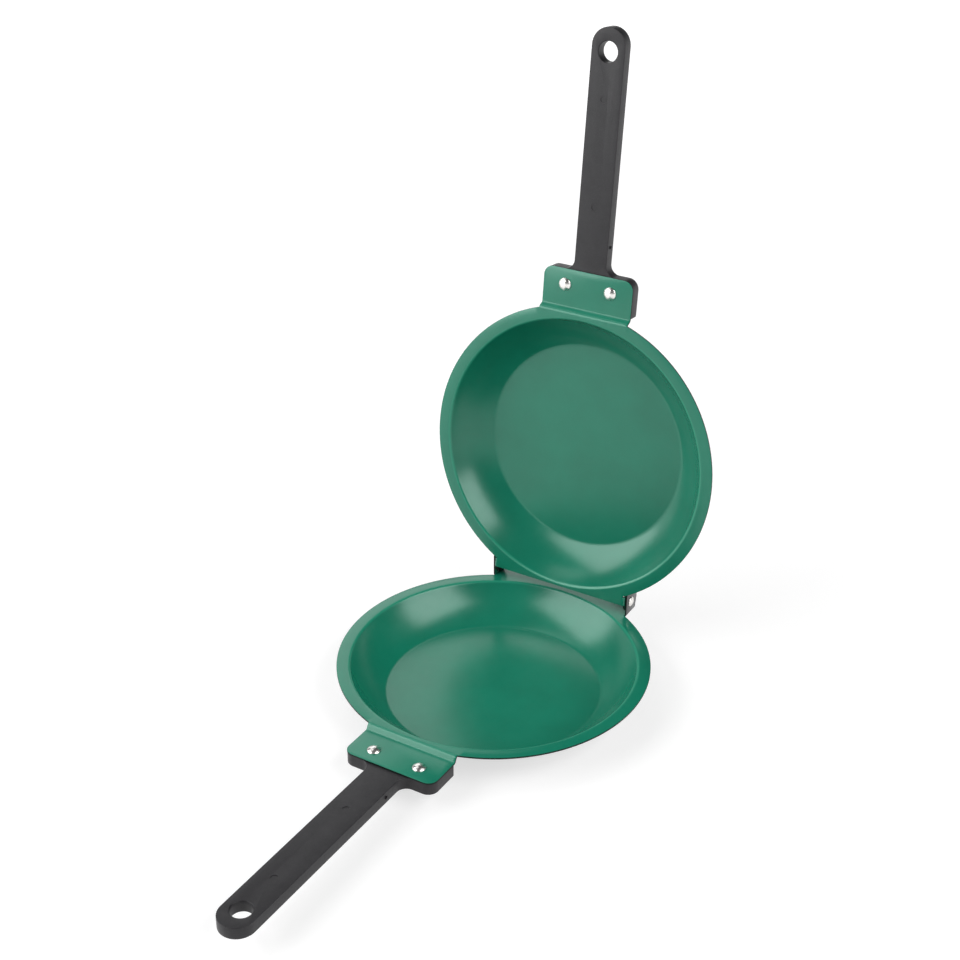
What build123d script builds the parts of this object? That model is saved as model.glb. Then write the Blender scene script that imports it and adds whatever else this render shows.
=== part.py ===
"""Double sided flip pan: two pressed-steel pans, rim to rim, joined by a riveted hinge.

Each half is modelled in its own pan frame: the rim's centre is the origin, z = 0 is the
rim's cooking face, the bowl hangs towards -Z, the handle points along -Y and the hinge is
at +Y. The lower half only moves up by the pan's height. The upper half is turned face
down onto the lower one and then swung back about the hinge pins to its open stop.

Row frame: origin at the centre of the lower pan's flat base, +X along the hinge pins,
handles towards -Y, +Z up. Millimetres.
"""
from build123d import *
import math
import os

# ---- pressed pan ----
SHEET = 1.0                 # steel thickness
RIM_R = 95.0                # outer radius of the rim
FLANGE = 7.9                # width of the flat rim, up to the corner where the wall starts
DEPTH = 21.3                # rim face to cooking floor
FLOOR_R = 66.0              # radius of the floor, to its corner with the wall
FLOOR_BEND = 5.0            # inside radius where floor meets wall
WALL_SWEEP = 30.0           # degrees that the hollow wall curves through, floor to rim
WALL_FLAT = 0.5             # least straight left at either end of that curve
LIP_BEND = 1.4              # inside radius where wall meets rim
RIM_GAP = 0.4               # between the two rims when the pan is shut

# ---- handle tab ----
TAB_WIDTH = 59.4
TAB_REACH = 21.5            # how far the tab runs out past the rim
TAB_DROP = 3.5              # step down from the rim face to the foot of the step
TAB_RISE = 1.2              # degrees that tab and handle rise from there to the tip
TAB_CORNER = 6.0
JOGGLE_LAND = 1.3           # flat left between the wall's bend and the step's bend
JOGGLE_RUN = 1.8            # length over which the step falls
JOGGLE_BEND = 1.2

# ---- hinge ----
HINGE_WIDTH = 95.0          # between the inner faces of the lower ears
PIN_INSET = 6.5             # pin axis, in from the rim's outer radius
PIN_HEIGHT = 7.75           # pin axis above the lower rim face
PIN_R = 2.0
PIN_RUNNING = 0.06          # radial clearance of the pins in the upper ears
EAR_BEND = 0.5              # inside radius of every folded ear
EAR_R = 8.5                 # round of the lower ears about the pin
EAR_NOTCH = 0.6             # gap between an ear's front edge and the round rim
EAR_SIDE_GAP = 0.4          # between lower and upper ears, and under the hinge washers
LOWER_TAB_PAST_PIN = 6.8    # hinge tab behind the pin axis
UPPER_TAB_PAST_PIN = 1.0
OPEN_ANGLE = 97.5           # from shut to the stop
HEEL_RISE = 3.5             # stop heel, past the pin axis towards the ear's free end
STOP_GAP = 0.3              # heel to lower tab at the open stop

# ---- handle moulding ----
HANDLE_THICK = 7.2
HEAD_SETBACK = 2.0          # head of the handle behind the rim's outer radius
HEAD_CORNER = 6.5
HEAD_HEEL_CORNER = 1.5
BAR_WIDTH = 21.2
BAR_LENGTH = 142.6          # from the head to the tip
BAR_FILLET = 6.0
HANDLE_EDGE = 1.2           # rounded edge all round the moulding
HANG_HOLE_R = 6.0
HANG_HOLE_SETBACK = 13.8    # hole centre, in from the tip
EJECTOR_R = 2.2             # shallow round marks left by the ejector pins
EJECTOR_DEPTH = 0.25
EJECTOR_SETBACKS = (40.4, 103.2)
GATE_R = 1.1                # stub of the moulding gate on the side of the bar
GATE_PROUD = 0.9
GATE_FROM_HEAD = 16.6

# ---- rivets and washers ----
RIVET_PITCH = 30.2          # across the handle tab
RIVET_SETBACK = 9.7         # from the end of the handle tab
RIVET_SHANK_R = 2.4
RIVET_HEAD_R = 4.4
RIVET_HEAD_H = 2.2
RIVET_TAIL_R = 3.4
RIVET_TAIL_H = 1.2
WASHER_R = 5.0
WASHER_THICK = 0.8
PIN_HEAD_R = 3.6
PIN_HEAD_H = 1.6
PIN_TAIL_R = 2.9
PIN_TAIL_H = 1.0
PIN_WASHER_R = 4.0
PIN_WASHER_THICK = 0.6

# ---- worked out ----
WALL_R = RIM_R - FLANGE                         # corner between wall and rim
WALL_SLOPE = math.atan2(DEPTH, WALL_R - FLOOR_R)    # straight across from corner to corner
HALF_SWEEP = math.radians(WALL_SWEEP / 2)
FLOOR_TURN = WALL_SLOPE - HALF_SWEEP            # from the floor up into the wall
LIP_TURN = WALL_SLOPE + HALF_SWEEP              # from the wall out into the rim
WALL_LEG = math.hypot(DEPTH, WALL_R - FLOOR_R) / (2 * math.cos(HALF_SWEEP))
KNEE = (FLOOR_R + WALL_LEG * math.cos(FLOOR_TURN), WALL_LEG * math.sin(FLOOR_TURN) - DEPTH)
FLOOR_RUN = FLOOR_BEND * math.tan(FLOOR_TURN / 2)   # length of wall that each bend takes
LIP_RUN = (LIP_BEND + SHEET) * math.tan(LIP_TURN / 2)
WALL_BEND = (WALL_LEG - max(FLOOR_RUN, LIP_RUN) - WALL_FLAT) / math.tan(HALF_SWEEP)
FLANGE_R = WALL_R + LIP_RUN                     # where the rim is flat
BASE_HEIGHT = DEPTH + SHEET
TAB_END = RIM_R + TAB_REACH
JOGGLE_ANGLE = math.atan2(TAB_DROP, JOGGLE_RUN)
STEP_R = FLANGE_R + JOGGLE_LAND                 # where the rim starts to bend to the tab
JOGGLE_Y = STEP_R + (JOGGLE_BEND + SHEET) * math.tan(JOGGLE_ANGLE / 2)
STEP_FOOT = JOGGLE_Y + JOGGLE_RUN                # where the rising tab starts
PIN_Y = RIM_R - PIN_INSET
EAR_INNER = HINGE_WIDTH / 2                     # inner face of the lower ears
EAR_OUTER = EAR_INNER + SHEET
UPPER_EAR_OUTER = EAR_INNER - EAR_SIDE_GAP
UPPER_EAR_INNER = UPPER_EAR_OUTER - SHEET
PIN_DEPTH = PIN_HEIGHT - RIM_GAP                # pin axis from the upper rim face
HANDLE_TOP = -TAB_DROP - SHEET
HANDLE_BOTTOM = HANDLE_TOP - HANDLE_THICK
HEAD_START = RIM_R - HEAD_SETBACK
TIP = TAB_END + BAR_LENGTH
RIVET_Y = TAB_END - RIVET_SETBACK


def bent_sheet(path, bends, thickness):
    """Section of a bent sheet: path is one skin, the other lies to the right of it.

    bends are the inside radii, one for each corner of the path.
    """
    corners = [Vector(*point) for point in path]
    runs = [(end - start).normalized() for start, end in zip(corners, corners[1:])]
    normals = [Vector(run.Y, -run.X) for run in runs]
    backs = [corners[0] + normals[0] * thickness]
    near = []
    far = []
    for corner, bend, before, after, n0, n1 in zip(
        corners[1:], bends, runs, runs[1:], normals, normals[1:]
    ):
        backs.append(corner + (n0 + n1) * (thickness / (1 + n0.dot(n1))))
        turns_right = before.cross(after).Z < 0
        near.append(bend + thickness if turns_right else bend)
        far.append(bend if turns_right else bend + thickness)
    backs.append(corners[-1] + normals[-1] * thickness)
    skin = FilletPolyline(*corners, radius=near)
    back = FilletPolyline(*backs, radius=far)
    ends = [Line(skin @ 0, back @ 0), Line(skin @ 1, back @ 1)]
    return make_face(skin.edges() + back.edges() + [end.edge() for end in ends])


def side_plate(outline, half_width):
    """Solid of a Y-Z outline, as wide as the pan is across X."""
    return extrude(Plane.YZ * outline, amount=half_width, both=True)


def pressed_bowl():
    """Floor, hollow wall and flat round rim, spun from the sheet's section."""
    skin = [(0, -DEPTH), (FLOOR_R, -DEPTH), KNEE, (WALL_R, 0), (RIM_R, 0)]
    section = bent_sheet(skin, [FLOOR_BEND, WALL_BEND, LIP_BEND], SHEET)
    return revolve(Plane.XZ * section, axis=Axis.Z)


def handle_rise():
    """Turns the level handle, rivets and tab up about the foot of the step."""
    foot = Pos(0, -STEP_FOOT, -TAB_DROP)
    return foot * Rot(-TAB_RISE, 0, 0) * foot.inverse()


def handle_tab():
    """Tab that steps down from the rim and rises a little to carry the handle."""
    end = (handle_rise() * Pos(0, -TAB_END, -TAB_DROP)).position
    skin = [(end.Y, end.Z), (-STEP_FOOT, -TAB_DROP), (-JOGGLE_Y, 0), (-FLANGE_R, 0)]
    section = bent_sheet(skin, [JOGGLE_BEND, JOGGLE_BEND], SHEET)
    tab = side_plate(section, TAB_WIDTH / 2)
    end_face = tab.faces().sort_by(Axis.Y)[0]
    upright = end_face.edges().filter_by(Axis.X, reverse=True)
    return fillet(upright, TAB_CORNER)


def rim_cut(start, direction, width):
    """Block that trims the round rim past a line across it, towards -Y or +Y."""
    block = Box(width, RIM_R, 3 * SHEET)
    return Pos(0, direction * (start + RIM_R / 2), 0) * block


def pin_holes(height, radius):
    """Cylinder along the hinge axis, at a height in the pan frame."""
    bore = Cylinder(radius, 2 * EAR_OUTER + 2)
    return Pos(0, PIN_Y, height) * Rot(0, 90, 0) * bore


def hinge_channel(half_width, rise, front, past_pin):
    """Channel of sheet: hinge tab with an ear along each side.

    A positive rise folds the ears to the cooking side, a negative one to the outside.
    """
    skin = [(-half_width, rise), (-half_width, 0), (half_width, 0), (half_width, rise)]
    section = bent_sheet(skin, [EAR_BEND, EAR_BEND], SHEET)
    length = PIN_Y + past_pin - front
    channel = extrude(Plane.XZ.offset(-front) * section, amount=-length)
    return channel - Cylinder(FLANGE_R, 4 * SHEET)


def ear_front(half_width):
    """Where an ear starts along Y, just clear of the round rim."""
    return math.sqrt(RIM_R**2 - half_width**2) + EAR_NOTCH


def lower_hinge():
    """Hinge tab of the lower pan: ears folded up, round about the pin."""
    front = ear_front(EAR_INNER)
    tab_edge = PIN_Y + LOWER_TAB_PAST_PIN
    top = PIN_HEIGHT + EAR_R
    reach = PIN_Y + EAR_R
    foot = Polygon(
        (front, -SHEET), (tab_edge, -SHEET), (tab_edge, 0), (reach, PIN_HEIGHT),
        (front, PIN_HEIGHT), align=None,
    )
    eye = Pos(PIN_Y, PIN_HEIGHT) * Circle(EAR_R)
    window = Pos(front, -SHEET) * Rectangle(reach - front, top + SHEET, align=(Align.MIN, Align.MIN))
    outline = side_plate((foot + eye) & window, EAR_OUTER + 1)
    channel = hinge_channel(EAR_INNER, top, front, LOWER_TAB_PAST_PIN + EAR_R)
    return (channel & outline) - pin_holes(PIN_HEIGHT, PIN_R)


def upper_hinge():
    """Hinge tab of the upper pan: ears folded outwards, each with a heel that stops it."""
    front = ear_front(UPPER_EAR_INNER)
    tab_edge = PIN_Y + UPPER_TAB_PAST_PIN
    swing = math.radians(OPEN_ANGLE)
    heel = (PIN_HEIGHT - STOP_GAP + HEEL_RISE * math.cos(swing)) / math.sin(swing)
    foot = Polygon((front, 0), (tab_edge, 0), (tab_edge, -PIN_DEPTH), (front, -PIN_DEPTH), align=None)
    eye = Pos(PIN_Y, -PIN_DEPTH) * Circle(PIN_DEPTH)
    stop = Pos(PIN_Y, -PIN_DEPTH) * Rectangle(heel, HEEL_RISE, align=(Align.MIN, Align.MAX))
    front_cut = Pos(front, 0) * Rectangle(4 * EAR_R, 4 * EAR_R, align=(Align.MIN, Align.CENTER))
    outline = side_plate((foot + eye + stop) & front_cut, EAR_OUTER + 1)
    channel = hinge_channel(UPPER_EAR_OUTER, -2 * PIN_DEPTH, front, heel + 1)
    return (channel & outline) - pin_holes(-PIN_DEPTH, PIN_R + PIN_RUNNING)


def rivet_holes():
    """The two holes of a level handle tab and its handle."""
    drill = Cylinder(RIVET_SHANK_R, 4 * (TAB_DROP + HANDLE_THICK))
    return [Pos(side * RIVET_PITCH / 2, -RIVET_Y, 0) * drill for side in (-1, 1)]


def pan(hinge, tab_past_pin):
    """One pressed pan with its handle tab and the given hinge tab."""
    rim_cuts = [rim_cut(STEP_R, -1, TAB_WIDTH)]
    if PIN_Y + tab_past_pin < RIM_R:
        rim_cuts.append(rim_cut(PIN_Y + tab_past_pin, 1, HINGE_WIDTH))
    body = pressed_bowl() - rim_cuts + handle_tab() + hinge
    return body - [handle_rise() * hole for hole in rivet_holes()]


def handle(gate_side):
    """Moulded handle: a head across the tab, a flat bar and a round end with its hole."""
    head = Pos(0, -TAB_END) * Rectangle(
        TAB_WIDTH, TAB_END - HEAD_START, align=(Align.CENTER, Align.MIN)
    )
    tip_y = -TIP + BAR_WIDTH / 2
    bar = Pos(0, tip_y) * Rectangle(
        BAR_WIDTH, -HEAD_START - tip_y, align=(Align.CENTER, Align.MIN)
    )
    outline = head + bar + Pos(0, tip_y) * Circle(BAR_WIDTH / 2)
    fronts = outline.vertices().filter_by(lambda v: abs(v.Y + TAB_END) < 0.01)
    throat = fronts.filter_by(lambda v: abs(v.X) < TAB_WIDTH / 2 - 1)
    outline = fillet(throat, BAR_FILLET)
    corners = outline.vertices().filter_by(lambda v: abs(abs(v.X) - TAB_WIDTH / 2) < 0.01)
    outline = fillet(corners.filter_by(lambda v: v.Y < -RIVET_Y), HEAD_CORNER)
    heels = outline.vertices().filter_by(lambda v: abs(v.Y + HEAD_START) < 0.01)
    outline = fillet(heels, HEAD_HEEL_CORNER)
    body = extrude(Plane.XY.offset(HANDLE_BOTTOM) * outline, amount=HANDLE_THICK)
    rims = body.edges().filter_by(Plane.XY).group_by(Axis.Z)
    body = fillet(rims[0] + rims[-1], HANDLE_EDGE)
    return body - handle_cuts() + gate_stub(gate_side)


def handle_cuts():
    """Hanging hole, rivet holes and the ejector pins' shallow marks."""
    cuts = rivet_holes()
    cuts.append(Pos(0, -TIP + HANG_HOLE_SETBACK, 0) * Cylinder(HANG_HOLE_R, 6 * HANDLE_THICK))
    for setback in EJECTOR_SETBACKS:
        mark = Cylinder(EJECTOR_R, 2 * EJECTOR_DEPTH)
        cuts.append(Pos(0, -TIP + setback, HANDLE_TOP) * mark)
    return cuts


def gate_stub(side):
    """Small stub of the moulding gate on the given side of the bar."""
    stub = Cylinder(GATE_R, 2 * GATE_PROUD)
    middle = (HANDLE_TOP + HANDLE_BOTTOM) / 2
    return Pos(side * BAR_WIDTH / 2, -TAB_END - GATE_FROM_HEAD, middle) * Rot(0, 90, 0) * stub


def domed(radius, height):
    """Spherical cap that stands on z = 0."""
    sphere_r = (radius**2 + height**2) / (2 * height)
    ball = Pos(0, 0, height - sphere_r) * Sphere(sphere_r)
    return ball & Pos(0, 0, height) * Cylinder(radius + 1, 2 * height)


def rivet(shank_r, grip, head, tail):
    """Domed rivet: head above z = 0, shank of the given grip and a closed end below."""
    shank = Cylinder(shank_r, grip, align=(Align.CENTER, Align.CENTER, Align.MAX))
    closed_end = Pos(0, 0, -grip) * Rot(180, 0, 0) * domed(*tail)
    return domed(*head) + shank + closed_end


def washer(radius, hole_r, thickness):
    """Plain washer that hangs below z = 0."""
    align = (Align.CENTER, Align.CENTER, Align.MAX)
    return Cylinder(radius, thickness, align=align) - Cylinder(hole_r, 3 * thickness)


def handle_fasteners(side):
    """Rivet and washer of a level handle, on the given side."""
    grip = SHEET + HANDLE_THICK + WASHER_THICK
    pin = rivet(RIVET_SHANK_R, grip, (RIVET_HEAD_R, RIVET_HEAD_H), (RIVET_TAIL_R, RIVET_TAIL_H))
    ring = washer(WASHER_R, RIVET_SHANK_R, WASHER_THICK)
    x = side * RIVET_PITCH / 2
    return Pos(x, -RIVET_Y, -TAB_DROP) * pin, Pos(x, -RIVET_Y, HANDLE_BOTTOM) * ring


def hinge_fasteners(side):
    """Hinge rivet through both ears and its inner washer, in the lower pan's frame."""
    washer_face = UPPER_EAR_INNER - EAR_SIDE_GAP
    grip = EAR_OUTER - washer_face + PIN_WASHER_THICK
    pin = rivet(PIN_R, grip, (PIN_HEAD_R, PIN_HEAD_H), (PIN_TAIL_R, PIN_TAIL_H))
    ring = washer(PIN_WASHER_R, PIN_R, PIN_WASHER_THICK)
    outwards = Rot(0, side * 90, 0)
    at_ear = Pos(side * EAR_OUTER, PIN_Y, PIN_HEIGHT) * outwards
    at_washer = Pos(side * washer_face, PIN_Y, PIN_HEIGHT) * outwards
    return at_ear * pin, at_washer * ring


def lower_place():
    """Pan frame to row frame, lower half."""
    return Pos(0, 0, BASE_HEIGHT)


def upper_place():
    """Pan frame to row frame, upper half: turned over, then swung back to its stop."""
    turned = Pos(0, 0, RIM_GAP) * Rot(0, 180, 0)
    swung = Pos(0, PIN_Y, PIN_HEIGHT) * Rot(-OPEN_ANGLE, 0, 0) * Pos(0, -PIN_Y, -PIN_HEIGHT)
    return lower_place() * swung * turned


def build_nodes():
    """Every piece of the pan in the row frame, by node name."""
    lower = lower_place()
    upper = upper_place()
    rise = handle_rise()
    nodes = {
        "lower_pan": lower * pan(lower_hinge(), LOWER_TAB_PAST_PIN),
        "upper_pan": upper * pan(upper_hinge(), UPPER_TAB_PAST_PIN),
        "lower_handle": lower * rise * handle(1),
        "upper_handle": upper * rise * handle(-1),
    }
    for name, side in (("left", -1), ("right", 1)):
        pin, ring = handle_fasteners(side)
        nodes[f"lower_handle_rivet_{name}"] = lower * rise * pin
        nodes[f"lower_handle_washer_{name}"] = lower * rise * ring
        pin, ring = handle_fasteners(-side)
        nodes[f"upper_handle_rivet_{name}"] = upper * rise * pin
        nodes[f"upper_handle_washer_{name}"] = upper * rise * ring
        pin, ring = hinge_fasteners(side)
        nodes[f"hinge_rivet_{name}"] = lower * pin
        nodes[f"hinge_washer_{name}"] = lower * ring
    return nodes


os.makedirs("parts", exist_ok=True)
for node, shape in build_nodes().items():
    export_step(shape, f"parts/{node}.step")
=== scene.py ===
"""Double sided flip pan: two shallow coated pans, rim to rim, on a riveted hinge.

Every shape is modelled in millimetres in its pan's own frame: the rim's centre is the
origin, z = 0 is the rim's cooking face, the bowl hangs towards -Z, the handle points
along -Y and the hinge is at +Y. LOWER and UPPER carry a pan's frame to the row frame, in
metres.
"""
import math
import bmesh
import bpy
from mathutils import Matrix, Vector


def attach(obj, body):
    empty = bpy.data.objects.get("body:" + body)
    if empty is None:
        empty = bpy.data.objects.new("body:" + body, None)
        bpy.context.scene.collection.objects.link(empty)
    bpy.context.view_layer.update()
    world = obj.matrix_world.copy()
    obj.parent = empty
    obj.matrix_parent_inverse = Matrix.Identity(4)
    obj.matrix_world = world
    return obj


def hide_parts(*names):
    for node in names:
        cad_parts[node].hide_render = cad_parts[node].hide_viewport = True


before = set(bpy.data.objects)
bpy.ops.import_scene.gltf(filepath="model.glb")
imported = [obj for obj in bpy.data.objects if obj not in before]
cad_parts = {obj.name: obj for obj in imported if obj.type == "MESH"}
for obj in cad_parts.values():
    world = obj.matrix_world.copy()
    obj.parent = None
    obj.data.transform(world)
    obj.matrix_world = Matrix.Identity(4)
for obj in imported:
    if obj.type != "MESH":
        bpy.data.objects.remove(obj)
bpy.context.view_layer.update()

# ---- sizes, in millimetres ----
MM = 0.001
SHEET = 1.0                 # pressed steel
RIM_R = 95.0
WALL_R = 87.1               # corner between wall and rim
FLOOR_R = 66.0              # corner between floor and wall
DEPTH = 21.3
FLOOR_BEND = 5.0            # inside radii of the pressed bends
LIP_BEND = 1.4
WALL_SWEEP = 30.0           # degrees that the hollow wall curves through, floor to rim
WALL_FLAT = 0.5             # least straight left at either end of that curve
RIM_GAP = 0.4               # between the rims when the pan is shut
TAB_WIDTH = 59.4
TAB_END = 116.5
TAB_DROP = 3.5
TAB_RISE = 1.2              # degrees that tab and handle rise towards the tip
TAB_CORNER = 6.0
JOGGLE_LAND = 1.3
JOGGLE_RUN = 1.8
JOGGLE_BEND = 1.2
PIN_Y = 88.5
PIN_HEIGHT = 7.75
EAR_INNER = 47.5            # inner faces of the lower ears
EAR_BEND = 0.5
EAR_R = 8.5
EAR_NOTCH = 0.6
EAR_SIDE_GAP = 0.4
LOWER_TAB_EDGE = PIN_Y + 6.8
UPPER_TAB_EDGE = PIN_Y + 1.0
OPEN_ANGLE = 97.5
HEEL_RISE = 3.5
STOP_GAP = 0.3
HANDLE_THICK = 7.2
HEAD_START = 93.0
HEAD_END = TAB_END
HEAD_CORNER = 6.5
HEEL_CORNER = 1.5
BAR_WIDTH = 21.2
TIP = 259.1
BAR_FILLET = 6.0
HANDLE_EDGE = 1.2
HANG_HOLE_R = 6.0
HANG_HOLE_SETBACK = 13.8
EJECTOR_R = 2.2
EJECTOR_DEPTH = 0.25
EJECTOR_SETBACKS = (40.4, 103.2)
GATE_R = 1.1
GATE_PROUD = 0.9
GATE_FROM_HEAD = 16.6
RIVET_X = 15.1
RIVET_Y = TAB_END - 9.7
RIVET = {"shank": 2.4, "head": 4.4, "rise": 2.2, "tail": 3.4, "tail_rise": 1.2}
WASHER_R, WASHER_THICK = 5.0, 0.8
PIN = {"shank": 2.0, "head": 3.6, "rise": 1.6, "tail": 2.9, "tail_rise": 1.0}
PIN_WASHER_R, PIN_WASHER_THICK = 4.0, 0.6

# ---- worked out from them ----
LIP_R = LIP_BEND + SHEET
WALL_SLOPE = math.degrees(math.atan2(DEPTH, WALL_R - FLOOR_R))
FLOOR_TURN = WALL_SLOPE - WALL_SWEEP / 2
LIP_TURN = WALL_SLOPE + WALL_SWEEP / 2
HALF_SWEEP = math.radians(WALL_SWEEP / 2)
WALL_LEG = math.hypot(WALL_R - FLOOR_R, DEPTH) / (2 * math.cos(HALF_SWEEP))
FLOOR_RUN = FLOOR_BEND * math.tan(math.radians(FLOOR_TURN / 2))
LIP_RUN = LIP_R * math.tan(math.radians(LIP_TURN / 2))
WALL_BEND = (WALL_LEG - max(FLOOR_RUN, LIP_RUN) - WALL_FLAT) / math.tan(HALF_SWEEP)
FLANGE_R = WALL_R + LIP_RUN
STEP_Y = FLANGE_R + JOGGLE_LAND
JOGGLE_ANGLE = math.degrees(math.atan2(TAB_DROP, JOGGLE_RUN))
STEP_FOOT = STEP_Y + (JOGGLE_BEND + SHEET) * math.tan(math.radians(JOGGLE_ANGLE / 2)) + JOGGLE_RUN
EAR_OUTER = EAR_INNER + SHEET
UPPER_EAR_OUTER = EAR_INNER - EAR_SIDE_GAP
UPPER_EAR_INNER = UPPER_EAR_OUTER - SHEET
PIN_DEPTH = PIN_HEIGHT - RIM_GAP
HANDLE_TOP = -TAB_DROP - SHEET
HANDLE_BOTTOM = HANDLE_TOP - HANDLE_THICK
BASE_HEIGHT = DEPTH + SHEET
TURNS = 144                 # steps of a full spin of the bowl
BEND_STEPS = 8
GUARD = 0.4                 # narrow strip beside a bend, which keeps a flat's shading flat

X, Y, Z = Vector((1, 0, 0)), Vector((0, 1, 0)), Vector((0, 0, 1))


def shift(x, y, z):
    return Matrix.Translation((x, y, z))


LOWER = Matrix.Scale(MM, 4) @ shift(0, 0, BASE_HEIGHT)
UPPER = (
    LOWER
    @ shift(0, PIN_Y, PIN_HEIGHT)
    @ Matrix.Rotation(math.radians(-OPEN_ANGLE), 4, "X")
    @ shift(0, -PIN_Y, -PIN_HEIGHT)
    @ shift(0, 0, RIM_GAP)
    @ Matrix.Rotation(math.pi, 4, "Y")
)
RISE = (
    shift(0, -STEP_FOOT, -TAB_DROP)
    @ Matrix.Rotation(math.radians(-TAB_RISE), 4, "X")
    @ shift(0, STEP_FOOT, TAB_DROP)
)


# ---- sheet-metal and moulding tools ----
def verts_of(parts):
    return [p for p in parts if isinstance(p, bmesh.types.BMVert)]


def edges_of(parts):
    return [p for p in parts if isinstance(p, bmesh.types.BMEdge)]


def faces_of(parts):
    return [p for p in parts if isinstance(p, bmesh.types.BMFace)]


def carry(bm, ends, at, heading, up, moves, steps=BEND_STEPS):
    """Draw a vertex or a strip's end edges on along straight runs and round bends.

    at is the place of the ends, heading the way they go and up the side that a positive
    bend turns to. A move is a length, or a pair of bend radius and degrees; a radius of 0
    only turns the heading. Returns the new ends.
    """
    for move in moves:
        if isinstance(move, tuple):
            radius, degrees = move
            axis = heading.cross(up)
            turn = Matrix.Rotation(math.radians(degrees), 3, axis)
            if radius:
                centre = at + up * math.copysign(radius, degrees)
                ends = bmesh.ops.spin(
                    bm, geom=ends, cent=centre, axis=axis, angle=math.radians(degrees),
                    steps=steps, use_merge=False, use_duplicate=False,
                )["geom_last"]
                at = centre + turn @ (at - centre)
            heading, up = turn @ heading, turn @ up
        else:
            ends = bmesh.ops.spin(
                bm, geom=ends, cent=at, axis=Z, dvec=heading * move, angle=0,
                steps=1, use_merge=False, use_duplicate=False,
            )["geom_last"]
            at = at + heading * move
    return ends


def guarded(length):
    """A straight run with a narrow strip at each end."""
    return [GUARD, length - 2 * GUARD, GUARD]


def turned_on_axis(bm, steps):
    """Spin everything about Z and close the seam and the poles."""
    bmesh.ops.spin(
        bm, geom=bm.verts[:] + bm.edges[:], cent=(0, 0, 0), axis=Z, angle=2 * math.pi,
        steps=steps, use_merge=True, use_duplicate=False,
    )
    bmesh.ops.remove_doubles(bm, verts=bm.verts[:], dist=1e-4)
    bmesh.ops.dissolve_degenerate(bm, edges=bm.edges[:], dist=1e-5)


def cut(bm, faces, point, normal, drop=False):
    """Cut faces along a plane; drop takes away what lies on the normal's side."""
    parts = set(faces)
    for f in faces:
        parts.update(f.verts, f.edges)
    bmesh.ops.bisect_plane(
        bm, geom=list(parts), dist=1e-4, plane_co=point, plane_no=normal,
        clear_outer=drop, clear_inner=False,
    )


def finish(bm, name, place, materials, edge_width=0.0, wall=0.0, smooth=40):
    """Turn a bmesh in millimetres into a piece at its place, with its walls and edges."""
    bm.transform(place)
    mesh = bpy.data.meshes.new(name)
    bm.to_mesh(mesh)
    bm.free()
    piece = bpy.data.objects.new(name, mesh)
    bpy.context.scene.collection.objects.link(piece)
    for material in materials:
        mesh.materials.append(material)
    if wall:
        solid = piece.modifiers.new("sheet", "SOLIDIFY")
        solid.thickness = wall * MM
        solid.offset = -1
        solid.use_even_offset = True
        solid.material_offset = 1
        solid.material_offset_rim = 2
    if edge_width:
        edge = piece.modifiers.new("edges", "BEVEL")
        edge.width = edge_width * MM
        edge.segments = 2
        edge.limit_method = "ANGLE"
        edge.angle_limit = math.radians(50)
    if piece.modifiers:
        graph = bpy.context.evaluated_depsgraph_get()
        made = bpy.data.meshes.new_from_object(piece.evaluated_get(graph))
        piece.modifiers.clear()
        piece.data = made
        made.name = name
        bpy.data.meshes.remove(mesh)
    piece.data.shade_smooth()
    piece.data.set_sharp_from_angle(angle=math.radians(smooth))
    return piece


# ---- pressed pans ----
def pressed_bowl():
    """Skin of the cooking side: floor, hollow wall and flat rim, spun from its section."""
    bm = bmesh.new()
    start = Vector((0, 0, -DEPTH))
    straight = WALL_LEG - WALL_BEND * math.tan(HALF_SWEEP)
    moves = [
        *guarded(FLOOR_R - FLOOR_RUN), (FLOOR_BEND, FLOOR_TURN), straight - FLOOR_RUN,
        (WALL_BEND, WALL_SWEEP), straight - LIP_RUN, (LIP_R, -LIP_TURN),
        GUARD, RIM_R - FLANGE_R - GUARD,
    ]
    carry(bm, [bm.verts.new(start)], start, X.copy(), Z.copy(), moves)
    turned_on_axis(bm, TURNS)
    bmesh.ops.recalc_face_normals(bm, faces=bm.faces[:])
    floor = min(bm.faces, key=lambda f: f.calc_center_median().length_squared)
    if floor.normal.z < 0:
        bmesh.ops.reverse_faces(bm, faces=bm.faces[:])
    # painted highlight: a share of paler green that peaks mid-way round the lip's bend
    bend_highlight = bm.verts.layers.float.new("painted_bend_highlight")
    bend_start = WALL_R - LIP_RUN * math.cos(math.radians(LIP_TURN))
    for v in bm.verts:
        over = (v.co.xy.length - bend_start) / (FLANGE_R - bend_start)
        if 0 < over < 1 and v.co.z > -LIP_R:
            v[bend_highlight] = math.sin(math.pi * over)
    return bm


def rim_faces(bm, side, reach):
    """Faces of the flat rim towards side times Y, as far out across X as reach."""
    return [
        f for f in bm.faces
        if side * f.calc_center_median().y > 0 and f.calc_center_median().z > -0.01
        and abs(f.calc_center_median().x) < reach
        and f.calc_center_median().xy.length > FLANGE_R
    ]


def border_edges(bm, test):
    """Open edges of the sheet whose middle and ends pass the test."""
    return [e for e in bm.edges if e.is_boundary and all(test(v.co) for v in e.verts)]


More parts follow.
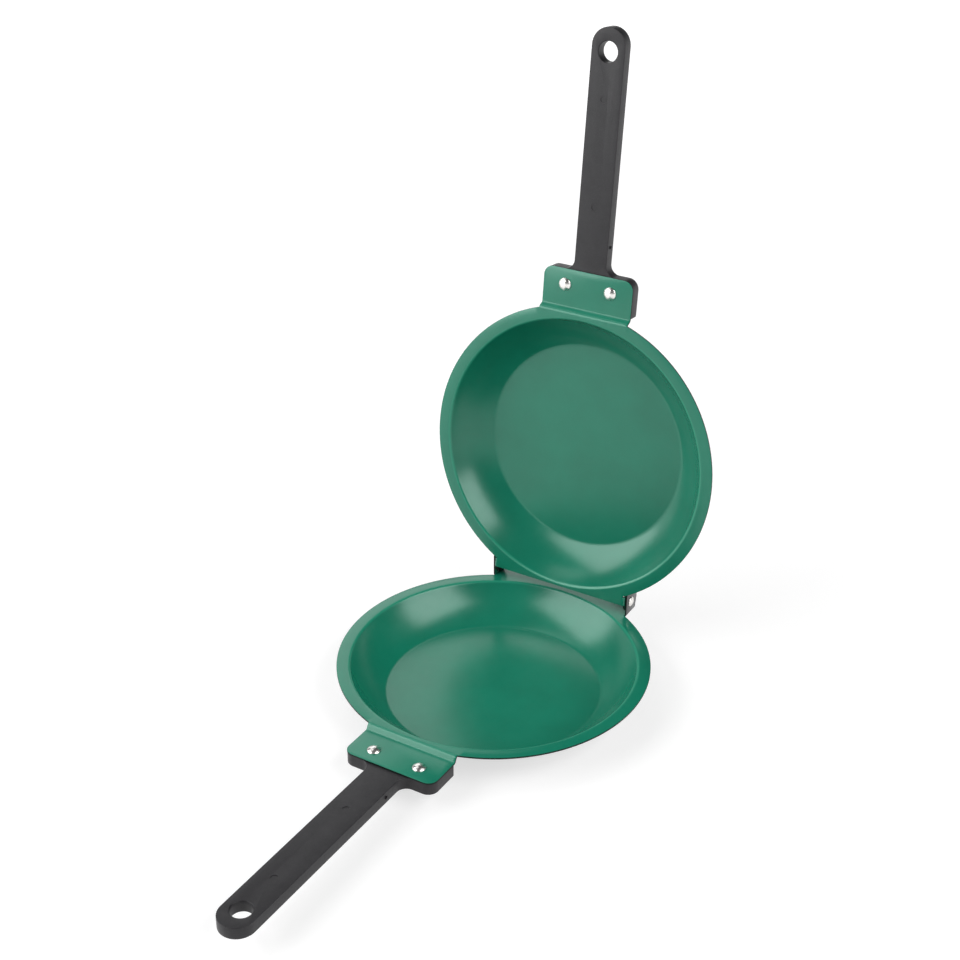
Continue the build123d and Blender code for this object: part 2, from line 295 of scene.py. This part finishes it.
def handle_tab(bm):
    """Cut the rim straight and carry it down the joggle to the handle tab."""
    half = TAB_WIDTH / 2
    for x in (-half, half):
        cut(bm, rim_faces(bm, -1, half + 8), (x, 0, 0), X)
    cut(bm, rim_faces(bm, -1, half), (0, -STEP_Y, 0), -Y)
    past = [f for f in rim_faces(bm, -1, half) if f.calc_center_median().y < -STEP_Y]
    bmesh.ops.delete(bm, geom=past, context="FACES")
    line = border_edges(bm, lambda p: abs(p.y + STEP_Y) < 0.01 and abs(p.x) < half + 0.01)
    outer, inner = JOGGLE_BEND + SHEET, JOGGLE_BEND
    back = JOGGLE_ANGLE + TAB_RISE
    down, level = (math.tan(math.radians(turn / 2)) for turn in (JOGGLE_ANGLE, back))
    moves = [
        (outer, -JOGGLE_ANGLE), math.hypot(JOGGLE_RUN, TAB_DROP) - outer * down - inner * level,
        (inner, back), GUARD, TAB_END - STEP_FOOT - inner * level - GUARD,
    ]
    at = Vector((0, -STEP_Y, 0))
    last = carry(bm, line + list({v for e in line for v in e.verts}), at, -Y, Z.copy(), moves)
    # painted highlight: a fifth of that paler green on the joggle's sloping run
    bend_highlight = bm.verts.layers.float["painted_bend_highlight"]
    for v in bm.verts:
        if -STEP_FOOT < v.co.y < -STEP_Y and v.co.z > -TAB_DROP + 0.4:
            v[bend_highlight] = 0.2
    plate = {f for e in edges_of(last) for f in e.link_faces}
    seams = {e for f in plate for e in f.edges if len([g for g in e.link_faces if g in plate]) == 2}
    bmesh.ops.dissolve_edges(bm, edges=list(seams), use_verts=False)
    end = [v for v in bm.verts if abs(v.co.y + TAB_END) < 0.05]
    bmesh.ops.dissolve_verts(bm, verts=[v for v in end if abs(abs(v.co.x) - half) > 0.01])
    corners = [v for v in bm.verts if abs(v.co.y + TAB_END) < 0.05]
    bmesh.ops.bevel(
        bm, geom=corners, offset=TAB_CORNER, offset_type="OFFSET", affect="VERTICES",
        segments=10, profile=0.5, material=-1,
    )


def ear_start(fold_x):
    """Front of an ear along Y, just clear of the round rim."""
    return math.sqrt(RIM_R**2 - fold_x**2) + EAR_NOTCH


def plate(bm, outline, x, rounds):
    """Flat plate across X from its Y-Z outline, with the given corners rounded."""
    corners = [bm.verts.new((x, y, z)) for y, z in outline]
    bm.faces.new(corners)
    for index, radius in rounds.items():
        bmesh.ops.bevel(
            bm, geom=[corners[index]], offset=radius, offset_type="OFFSET",
            affect="VERTICES", segments=12, profile=0.5, material=-1,
        )


def hinge_tab(bm, edge_y, skin_x, front_y, bend):
    """Widen the rim to a straight hinge tab and fold an ear's bend along each side.

    bend is the ear's bend radius on the cooking skin, negative where it folds outwards.
    """
    radius = abs(bend)
    fold = skin_x - radius
    for x in (-fold, fold):
        cut(bm, rim_faces(bm, 1, fold + 8), (x, 0, 0), X)
    if edge_y < RIM_R:
        cut(bm, rim_faces(bm, 1, fold), (0, edge_y, 0), Y, drop=True)
    line = border_edges(
        bm, lambda p: p.y > 0 and p.z > -0.01 and abs(p.x) < fold + 0.01 and p.y < edge_y - 0.01
        or p.y > 0 and abs(abs(p.x) ** 2 + p.y**2 - RIM_R**2) < 0.5 and abs(p.x) < fold + 0.01
    )
    line = [e for e in line if sum(v.co.xy.length for v in e.verts) / 2 > RIM_R - 0.2]
    last = bmesh.ops.extrude_edge_only(bm, edges=line)["geom"]
    bmesh.ops.scale(bm, vec=(1, 0, 1), space=shift(0, -edge_y, 0), verts=verts_of(last))
    for side in (-1, 1):
        strip = [
            f for f in bm.faces
            if side * f.calc_center_median().x > fold - 9 and f.calc_center_median().y > 0
            and abs(f.calc_center_median().x) < fold and f.calc_center_median().z > -0.01
            and f.calc_center_median().xy.length > FLANGE_R
        ]
        cut(bm, strip, (0, front_y, 0), Y)
        ends = border_edges(
            bm, lambda p: abs(p.x - side * fold) < 0.01 and front_y - 0.01 < p.y < edge_y + 0.01
        )
        at = Vector((side * fold, 0, 0))
        turn = math.copysign(90, bend)
        carry(bm, ends + list({v for e in ends for v in e.verts}), at, X * side, Z.copy(),
              [(radius, turn)], steps=6)


def lower_hinge(bm):
    """Hinge tab of the lower pan, with its ears folded up round the pins."""
    front = ear_start(EAR_INNER)
    hinge_tab(bm, LOWER_TAB_EDGE, EAR_INNER, front, EAR_BEND)
    top, reach = PIN_HEIGHT + EAR_R, PIN_Y + EAR_R
    outline = [
        (PIN_Y - EAR_R, EAR_BEND), (LOWER_TAB_EDGE, EAR_BEND), (reach, PIN_HEIGHT),
        (reach, top), (PIN_Y - EAR_R, top),
    ]
    for x in (-EAR_INNER, EAR_INNER):
        plate(bm, outline, x, {3: EAR_R, 4: EAR_R})
    ears = [f for f in bm.faces if abs(abs(f.calc_center_median().x) - EAR_INNER) < 0.01]
    cut(bm, ears, (0, front, 0), -Y, drop=True)
    bmesh.ops.remove_doubles(bm, verts=bm.verts[:], dist=1e-3)


def upper_hinge(bm):
    """Hinge tab of the upper pan: ears folded out, each with a heel that stops the swing."""
    front = ear_start(UPPER_EAR_INNER)
    bend = EAR_BEND + SHEET
    hinge_tab(bm, UPPER_TAB_EDGE, UPPER_EAR_OUTER, front, -bend)
    swing = math.radians(OPEN_ANGLE)
    heel = (PIN_HEIGHT - STOP_GAP + HEEL_RISE * math.cos(swing)) / math.sin(swing)
    outline = [
        (PIN_Y - PIN_DEPTH, -bend), (UPPER_TAB_EDGE, -bend), (PIN_Y + heel - 2, -bend - 1.2),
        (PIN_Y + heel, -PIN_DEPTH), (PIN_Y + heel, -PIN_DEPTH - HEEL_RISE),
        (PIN_Y + heel - 2.2, -2 * PIN_DEPTH), (PIN_Y - PIN_DEPTH, -2 * PIN_DEPTH),
    ]
    for x in (-UPPER_EAR_OUTER, UPPER_EAR_OUTER):
        plate(bm, outline, x, {2: 2.0, 5: 4.0, 6: PIN_DEPTH})
    ears = [f for f in bm.faces if abs(abs(f.calc_center_median().x) - UPPER_EAR_OUTER) < 0.01]
    cut(bm, ears, (0, front, 0), -Y, drop=True)
    bmesh.ops.remove_doubles(bm, verts=bm.verts[:], dist=1e-3)


def pan(name, node, body, place, hinge):
    """One pressed pan with its handle tab and hinge tab."""
    bm = pressed_bowl()
    handle_tab(bm)
    hinge(bm)
    bmesh.ops.recalc_face_normals(bm, faces=bm.faces[:])
    floor = min(bm.faces, key=lambda f: f.calc_center_median().length_squared)
    if floor.normal.z < 0:
        bmesh.ops.reverse_faces(bm, faces=bm.faces[:])
    piece = finish(
        bm, name, place, [green_coat, black_coat, coated_edge], edge_width=0.2, wall=SHEET
    )
    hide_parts(node)
    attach(piece, body)
    return piece


# ---- handles ----
def loop(bm, radius, x, y, z, segments):
    """Ring of edges, such as a hole's."""
    made = bmesh.ops.create_circle(
        bm, cap_ends=False, segments=segments, radius=radius, matrix=shift(x, y, z)
    )
    return list({e for v in made["verts"] for e in v.link_edges})


def sink(bm, edges, depth):
    """Draw walls down from a ring of edges and return the ring at their foot."""
    walls = bmesh.ops.extrude_edge_only(bm, edges=edges)["geom"]
    bmesh.ops.translate(bm, verts=verts_of(walls), vec=(0, 0, -depth))
    return [e for e in edges_of(walls) if e.is_boundary]


def handle(name, node, body, place, gate_side):
    """Moulded handle: head, bar, round tip with its hole, ejector marks and gate stub."""
    bm = bmesh.new()
    half, bar = TAB_WIDTH / 2, BAR_WIDTH / 2
    outline = [
        (half, -HEAD_START), (half, -HEAD_END), (bar, -HEAD_END), (bar, -TIP),
        (-bar, -TIP), (-bar, -HEAD_END), (-half, -HEAD_END), (-half, -HEAD_START),
    ]
    radii = [HEEL_CORNER, HEAD_CORNER, BAR_FILLET, bar - 0.01]
    corners = [bm.verts.new((x, y, HANDLE_TOP)) for x, y in outline]
    face = bm.faces.new(corners)
    for corner, radius in zip(corners, radii + radii[::-1]):
        bmesh.ops.bevel(
            bm, geom=[corner], offset=radius, offset_type="OFFSET", affect="VERTICES",
            segments=12, profile=0.5, material=-1,
        )
    bmesh.ops.delete(bm, geom=bm.faces[:], context="FACES_ONLY")
    hole_y = -TIP + HANG_HOLE_SETBACK
    outer = bm.edges[:] + loop(bm, HANG_HOLE_R, 0, hole_y, HANDLE_TOP, 48)
    marks = [loop(bm, EJECTOR_R, 0, -TIP + s, HANDLE_TOP, 28) for s in EJECTOR_SETBACKS]
    inner = [e for mark in marks for e in mark]
    bmesh.ops.triangle_fill(bm, use_beauty=True, use_dissolve=True, edges=outer + inner)
    underside = sink(bm, outer, HANDLE_THICK)
    bmesh.ops.triangle_fill(bm, use_beauty=True, use_dissolve=True, edges=underside)
    for mark in marks:
        bmesh.ops.edgeloop_fill(bm, edges=sink(bm, mark, EJECTOR_DEPTH))
    bmesh.ops.recalc_face_normals(bm, faces=bm.faces[:])

    def near(edge, y, radius):
        return all((v.co.xy - Vector((0, y))).length < radius + 0.1 for v in edge.verts)

    rims = [
        e for e in bm.edges
        if e.calc_face_angle(0) > 1 and abs(e.verts[0].co.z - e.verts[1].co.z) < 0.01
        and not any(near(e, -TIP + s, EJECTOR_R) for s in EJECTOR_SETBACKS)
    ]
    holes = [e for e in rims if near(e, hole_y, HANG_HOLE_R)]
    rims = [e for e in rims if e not in holes]
    for group, width in ((rims, HANDLE_EDGE), (holes, 0.5)):
        bmesh.ops.bevel(
            bm, geom=group, offset=width, offset_type="OFFSET", affect="EDGES",
            segments=5, profile=0.5, material=-1, clamp_overlap=True,
        )
    stub = bmesh.ops.create_cone(
        bm, cap_ends=True, segments=14, radius1=GATE_R, radius2=GATE_R * 0.8,
        depth=2 * GATE_PROUD,
        matrix=shift(gate_side * bar, -HEAD_END - GATE_FROM_HEAD, (HANDLE_TOP + HANDLE_BOTTOM) / 2)
        @ Matrix.Rotation(gate_side * math.pi / 2, 4, "Y"),
    )
    piece = finish(bm, name, place, [phenolic], smooth=35)
    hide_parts(node)
    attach(piece, body)
    return piece


# ---- rivets and washers ----
def rivet(name, node, body, place, form, grip):
    """Set rivet: crowned head above z = 0, shank through the grip, and its set end."""
    bm = bmesh.new()
    soft = 0.35
    crown = (form["head"] ** 2 + form["rise"] ** 2) / (2 * form["rise"])
    lean = math.degrees(math.asin((form["head"] - soft) / crown)) * 0.93
    tail = (form["tail"] ** 2 + form["tail_rise"] ** 2) / (2 * form["tail_rise"])
    top = Vector((0, 0, form["rise"]))
    ends = carry(bm, [bm.verts.new(top)], top, X.copy(), -Z, [(crown, lean)], steps=10)
    rim = verts_of(ends)[0].co
    ends = carry(
        bm, ends, rim.copy(), Matrix.Rotation(math.radians(lean), 3, "Y") @ X,
        Matrix.Rotation(math.radians(lean), 3, "Y") @ -Z, [(soft, 90 - lean)], steps=4,
    )
    edge = verts_of(ends)[0].co
    moves = [edge.z, (0, 90), edge.x - form["shank"], (0, -90), grip, (0, -90), form["tail"] - form["shank"]]
    ends = carry(bm, ends, edge.copy(), -Z, -X, moves)
    at = verts_of(ends)[0].co.copy()
    lean = math.degrees(math.asin(form["tail"] / tail))
    heading = Matrix.Rotation(math.radians(180 - lean), 3, "Y") @ X
    up = Matrix.Rotation(math.radians(180 - lean), 3, "Y") @ -Z
    carry(bm, ends, at, heading, up, [(tail, lean)], steps=6)
    for v in bm.verts:
        if abs(v.co.x) < 0.02:
            v.co.x = 0
    turned_on_axis(bm, 40)
    bmesh.ops.recalc_face_normals(bm, faces=bm.faces[:])
    piece = finish(bm, name, place, [nickel_plate], smooth=35)
    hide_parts(node)
    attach(piece, body)
    return piece


def washer(name, node, body, place, radius, hole_r, thick):
    """Stamped washer that hangs below z = 0."""
    bm = bmesh.new()
    soft = 0.15
    start = Vector((hole_r, 0, 0))
    moves = [
        radius - hole_r - soft, (soft, 90), thick - 2 * soft, (soft, 90),
        radius - hole_r - soft, (0, 90), thick,
    ]
    carry(bm, [bm.verts.new(start)], start, X.copy(), -Z, moves, steps=3)
    bmesh.ops.remove_doubles(bm, verts=bm.verts[:], dist=1e-3)
    turned_on_axis(bm, 40)
    bmesh.ops.recalc_face_normals(bm, faces=bm.faces[:])
    piece = finish(bm, name, place, [zinc_plate], smooth=35)
    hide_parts(node)
    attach(piece, body)
    return piece


# ---- materials ----
def linear(code):
    """An sRGB hex colour as linear RGBA."""
    parts = [int(code[i:i + 2], 16) / 255 for i in (1, 3, 5)]
    return (*[c / 12.92 if c <= 0.04045 else ((c + 0.055) / 1.055) ** 2.4 for c in parts], 1)


def add(made, kind, inputs=None, **settings):
    """Add a node, set its properties, and give each named input a value or a link."""
    node = made.node_tree.nodes.new(kind) if isinstance(kind, str) else kind
    for key, value in settings.items():
        setattr(node, key, value)
    for key, value in (inputs or {}).items():
        if isinstance(value, bpy.types.NodeSocket):
            made.node_tree.links.new(value, node.inputs[key])
        else:
            node.inputs[key].default_value = value
    return node


def material(name):
    """A new material, its shader and the place on the piece that its patterns read."""
    made = bpy.data.materials.new(name)
    made.use_nodes = True
    place = add(made, "ShaderNodeTexCoord").outputs["Object"]
    return made, made.node_tree.nodes["Principled BSDF"], place


def pattern(made, place, size_mm, low, high, detail=2.0):
    """Cloudy noise of a real size in millimetres, drawn out to run from low to high."""
    cloud = add(
        made, "ShaderNodeTexNoise",
        {"Vector": place, "Scale": 1 / (size_mm * MM), "Detail": detail, "Roughness": 0.5},
    )
    return add(
        made, "ShaderNodeMapRange",
        {"Value": cloud.outputs[0], "From Min": 0.3, "From Max": 0.7, "To Min": low, "To Max": high},
    ).outputs[0]


def painted_edge_highlight(made, width_mm, strength):
    """Mask for a painted highlight: how far a spot lies on a convex edge or bend, from 0 on the flats up to
    strength.
    """
    round_off = add(made, "ShaderNodeBevel", {"Radius": width_mm * MM}, samples=4)
    flat = add(made, "ShaderNodeNewGeometry")
    match = add(
        made, "ShaderNodeVectorMath", {0: round_off.outputs[0], 1: flat.outputs["Normal"]},
        operation="DOT_PRODUCT",
    )
    return add(
        made, "ShaderNodeMapRange",
        {"Value": match.outputs["Value"], "From Min": 0.995, "From Max": 0.9, "To Min": 0.0, "To Max": strength},
    ).outputs[0]


def blend(made, share, first, second):
    """Mix two colours or colour sockets by share."""
    node = add(made, "ShaderNodeMix", {0: share, 6: first, 7: second}, data_type="RGBA")
    return node.outputs[2]


def grain(made, height, depth_mm):
    """Normal of a surface that rises and falls by depth with the pattern."""
    return add(
        made, "ShaderNodeBump", {"Height": height, "Strength": 1.0, "Distance": depth_mm * MM}
    ).outputs[0]


def make_green_coat():
    """Green ceramic non-stick coat, sprayed on blasted steel and baked.

    A satin gloss that spreads lamps into soft glows, with a faint orange peel and spray
    clouds. A paler green is painted over the lip's bend and the joggle as a painted highlight.
    """
    made, shader, place = material("sprayed_green_nonstick_coat")
    clouds = pattern(made, place, 30, 0.0, 1.0, detail=3)       # the spray gun's overlaps
    body = blend(made, clouds, linear("#0f6f57"), linear("#12775e"))
    grit = pattern(made, place, 0.8, 0.0, 0.06)                  # pigment, drawn coarse
    body = blend(made, grit, body, linear("#2c8f77"))
    # painted highlight: paler green along the lip's bend and the joggle, read from the sheet
    bend_highlight = add(made, "ShaderNodeAttribute", attribute_name="painted_bend_highlight").outputs["Fac"]
    body = blend(made, bend_highlight, body, linear("#25886d"))
    gloss = pattern(made, place, 4, 0.23, 0.27)
    add(made, shader, {
        "Base Color": body,
        "Specular IOR Level": 0.68,
        "Specular Tint": linear("#e4fff6"),
        "Roughness": gloss,
        "Normal": grain(made, pattern(made, place, 1.3, 0.0, 1.0, detail=1), 0.0015),
    })
    return made


def make_black_coat():
    """Black heat-proof coat on the outside: a slim, hard film, a little shinier than the green.

    Glances of light turn it mid grey, and it is rubbed in scattered patches.
    """
    made, shader, place = material("black_heatproof_outer_coat")
    clouds = pattern(made, place, 22, 0.0, 1.0, detail=3)
    body = blend(made, clouds, linear("#232425"), linear("#2b2c2d"))
    scuffs = pattern(made, place, 2.2, -0.5, 0.2, detail=5)
    body = blend(made, scuffs, body, linear("#3d3e3f"))
    add(made, shader, {
        "Base Color": body,
        "Specular IOR Level": 0.95,
        "Roughness": pattern(made, place, 3, 0.25, 0.34, detail=3),
        "Normal": grain(made, pattern(made, place, 0.9, 0.0, 1.0, detail=2), 0.006),
    })
    return made


def make_edge():
    """Cut edge of the sheet, where both coats taper off over sheared steel: dull, and near black partly as
    painted shade.
    """
    made, shader, place = material("cut_edge_with_painted_shade")
    runs = pattern(made, place, 2.5, 0.0, 1.0, detail=3)
    # near black: the sheared edge's dull tone, with painted shade along the cut edges as well
    body = blend(made, runs, linear("#0f1715"), linear("#15241f"))
    # painted highlight: paler green-grey on the edges' convex rounds
    body = blend(made, painted_edge_highlight(made, 0.15, 0.2), body, linear("#3a5c53"))
    add(made, shader, {
        "Base Color": body,
        "Specular IOR Level": 0.15,
        "Roughness": pattern(made, place, 0.8, 0.5, 0.62),
        "Normal": grain(made, pattern(made, place, 0.35, 0.0, 1.0), 0.012),
    })
    return made


def make_phenolic():
    """Compression-moulded black phenolic: dull sheen, faint flow clouds, a painted highlight on the edges."""
    made, shader, place = material("moulded_black_phenolic")
    flow = pattern(made, place, 9, 0.0, 1.0, detail=4)
    body = blend(made, flow, linear("#1a191c"), linear("#222124"))
    filler = pattern(made, place, 0.45, -0.35, 0.3)              # wood-flour specks
    body = blend(made, filler, body, linear("#39373b"))
    # painted highlight: paler grey along the handle's rounded edges
    body = blend(made, painted_edge_highlight(made, 0.5, 0.2), body, linear("#3c3a3d"))
    add(made, shader, {
        "Base Color": body,
        "Specular IOR Level": 0.4,
        "Roughness": pattern(made, place, 1.8, 0.4, 0.48, detail=4),
        "Normal": grain(made, pattern(made, place, 0.4, 0.0, 1.0), 0.010),
    })
    return made


def make_nickel():
    """Bright nickel plate on cold-headed steel: mirror-like, slightly warm, finely scuffed."""
    made, shader, place = material("bright_nickel_plate")
    tarnish = pattern(made, place, 2, 0.0, 1.0, detail=3)
    body = blend(made, tarnish, linear("#f1efec"), linear("#e4e1dc"))
    # painted highlight: paler on the heads' convex edges
    body = blend(made, painted_edge_highlight(made, 0.3, 0.3), body, linear("#f6f5f3"))
    add(made, shader, {
        "Base Color": body,
        "Metallic": 1.0,
        "Roughness": pattern(made, place, 0.7, 0.23, 0.32, detail=4),
        "Normal": grain(made, pattern(made, place, 0.5, 0.0, 1.0, detail=3), 0.004),
    })
    return made


def make_zinc():
    """Zinc-plated pressed washer: soft blue-grey shine in fine crystals, with a painted highlight on its rims.
    """
    made, shader, place = material("zinc_plate")
    crystals = add(
        made, "ShaderNodeTexVoronoi", {"Vector": place, "Scale": 1 / (0.7 * MM)}
    ).outputs["Color"]
    tone = add(made, "ShaderNodeRGBToBW", {0: crystals}).outputs[0]
    body = blend(made, tone, linear("#b4b7bb"), linear("#cbcdd0"))
    # painted highlight: paler on the washers' rims
    body = blend(made, painted_edge_highlight(made, 0.25, 0.4), body, linear("#dfe0e1"))
    add(made, shader, {
        "Base Color": body,
        "Metallic": 1.0,
        "Roughness": pattern(made, place, 0.9, 0.28, 0.40, detail=3),
        "Normal": grain(made, pattern(made, place, 0.4, 0.0, 1.0, detail=3), 0.006),
    })
    return made


green_coat, black_coat, coated_edge = make_green_coat(), make_black_coat(), make_edge()
phenolic, nickel_plate, zinc_plate = make_phenolic(), make_nickel(), make_zinc()

# ---- the pieces ----
HALVES = {"lower": ("lower_half", LOWER, lower_hinge, 1), "upper": ("upper_half", UPPER, upper_hinge, -1)}
for half_name, (body, place, hinge, gate_side) in HALVES.items():
    pan(f"{half_name}_pan_sheet", f"{half_name}_pan", body, place, hinge)
    level = place @ RISE
    handle(f"{half_name}_handle_moulding", f"{half_name}_handle", body, level, gate_side)
    for side_name, side in (("left", -1), ("right", 1)):
        x = side * RIVET_X * (1 if half_name == "lower" else -1)
        rivet(
            f"{half_name}_tab_rivet_{side_name}", f"{half_name}_handle_rivet_{side_name}", body,
            level @ shift(x, -RIVET_Y, -TAB_DROP), RIVET, SHEET + HANDLE_THICK + WASHER_THICK,
        )
        washer(
            f"{half_name}_tab_washer_{side_name}", f"{half_name}_handle_washer_{side_name}", body,
            level @ shift(x, -RIVET_Y, HANDLE_BOTTOM), WASHER_R, RIVET["shank"], WASHER_THICK,
        )
for side_name, side in (("left", -1), ("right", 1)):
    outwards = Matrix.Rotation(side * math.pi / 2, 4, "Y")
    washer_x = UPPER_EAR_INNER - EAR_SIDE_GAP
    rivet(
        f"hinge_pin_{side_name}", f"hinge_rivet_{side_name}", "lower_half",
        LOWER @ shift(side * EAR_OUTER, PIN_Y, PIN_HEIGHT) @ outwards, PIN,
        EAR_OUTER - washer_x + PIN_WASHER_THICK,
    )
    washer(
        f"hinge_pin_washer_{side_name}", f"hinge_washer_{side_name}", "lower_half",
        LOWER @ shift(side * washer_x, PIN_Y, PIN_HEIGHT) @ outwards,
        PIN_WASHER_R, PIN["shank"], PIN_WASHER_THICK,
    )

# ---- floor, world and lamps ----
FLOOR_LIFT = 0.62           # paper's added white near the pans, for rays that show it
AMBIENT = 0.04              # plain light from all round
WALL_TOP = (0.05, 0.25)     # sines of the heights between which the pale wall fades
CEILING = 0.06

floor_mesh = bpy.data.meshes.new("studio_floor")
bm = bmesh.new()
bmesh.ops.create_grid(bm, x_segments=1, y_segments=1, size=6)
bm.to_mesh(floor_mesh)
bm.free()
floor = bpy.data.objects.new("studio_floor", floor_mesh)
bpy.context.scene.collection.objects.link(floor)
paper, shader, place = material("white_paper_floor")
fibres = pattern(paper, place, 3, 0.0, 1.0)
add(paper, shader, {
    "Base Color": blend(paper, fibres, linear("#b4b4b4"), linear("#b8b8b8")), "Roughness": 0.9,
})


def seen(made):
    """1 for rays that show a background: camera, glossy and transmission rays."""
    path = add(made, "ShaderNodeLightPath").outputs
    pair = add(
        made, "ShaderNodeMath", {0: path["Is Camera Ray"], 1: path["Is Glossy Ray"]},
        operation="MAXIMUM",
    )
    return add(
        made, "ShaderNodeMath", {0: pair.outputs[0], 1: path["Is Transmission Ray"]},
        operation="MAXIMUM",
    ).outputs[0]


away = add(paper, "ShaderNodeVectorMath", {0: place}, operation="LENGTH").outputs["Value"]
white = add(
    paper, "ShaderNodeMapRange",
    {"Value": away, "From Min": 0.6, "From Max": 2.2, "To Min": FLOOR_LIFT, "To Max": 1.0},
).outputs[0]
lift = add(paper, "ShaderNodeMath", {0: seen(paper), 1: white}, operation="MULTIPLY")
glow = add(paper, "ShaderNodeEmission", {"Strength": lift.outputs[0]})
both = add(paper, "ShaderNodeAddShader", {0: shader.outputs[0], 1: glow.outputs[0]})
add(paper, paper.node_tree.nodes["Material Output"], {"Surface": both.outputs[0]})
floor_mesh.materials.append(paper)

world = bpy.data.worlds.new("studio")
bpy.context.scene.world = world
world.use_nodes = True
sky = add(world, world.node_tree.nodes["Background"], {"Color": (1, 1, 1, 1), "Strength": AMBIENT})
# the pale wall that stands round the studio, up to the dim ceiling
way = add(world, "ShaderNodeTexCoord").outputs["Generated"]
height = add(world, "ShaderNodeSeparateXYZ", {0: way}).outputs["Z"]
wall = add(
    world, "ShaderNodeMapRange",
    {"Value": height, "From Min": WALL_TOP[0], "From Max": WALL_TOP[1], "To Min": 1.0, "To Max": CEILING},
    interpolation_type="SMOOTHSTEP",
)
backdrop = add(world, "ShaderNodeBackground", {"Color": (1, 1, 1, 1), "Strength": wall.outputs[0]})
mix = add(world, "ShaderNodeMixShader", {0: seen(world), 1: sky.outputs[0], 2: backdrop.outputs[0]})
add(world, world.node_tree.nodes["World Output"], {"Surface": mix.outputs[0]})


def softbox(name, azimuth, elevation, width, height, radiance, distance=2.0):
    """Rectangular lamp that faces the pans from a bearing; radiance 1 looks white."""
    data = bpy.data.lights.new(name, "AREA")
    data.shape = "RECTANGLE"
    data.size, data.size_y = width, height
    data.energy = radiance * math.pi * width * height
    made = bpy.data.objects.new(name, data)
    bpy.context.scene.collection.objects.link(made)
    turn, rise = math.radians(azimuth), math.radians(elevation)
    way = Vector((math.sin(turn) * math.cos(rise), math.cos(turn) * math.cos(rise), math.sin(rise)))
    made.location = Vector((0, 0.05, 0.09)) + way * distance
    made.rotation_euler = way.to_track_quat("Z", "Y").to_euler()
    return made


softbox("left_softbox", -132, 28, 2.1, 1.7, 4.0)
softbox("right_softbox", 94, 36, 1.6, 1.5, 4.5)
softbox("back_softbox", -46, 30, 1.6, 1.25, 1.45)
softbox("top_softbox", -84, 64, 0.9, 0.8, 1.4)

# ---- camera ----
LENS, AZIMUTH, ELEVATION, ROLL = 60.717, 30.96, 29.02, -0.15
az, el = math.radians(AZIMUTH), math.radians(ELEVATION)
back = Vector((math.sin(az) * math.cos(el), -math.cos(az) * math.cos(el), math.sin(el)))
right = Matrix.Rotation(math.radians(ROLL), 3, back) @ Z.cross(back).normalized()
up = back.cross(right)
camera_data = bpy.data.cameras.new("camera")
camera_data.lens = LENS
camera_data.sensor_width = 36
camera_data.clip_start = 0.01
camera = bpy.data.objects.new("camera", camera_data)
bpy.context.scene.collection.objects.link(camera)
camera.location = (
    Vector((0, 0, BASE_HEIGHT)) + back * 982.18 - right * 8.15 + up * 108.34
) * MM
camera.rotation_euler = Matrix((right, up, back)).transposed().to_euler()
bpy.context.scene.camera = camera
bpy.context.scene.view_settings.view_transform = "Standard"
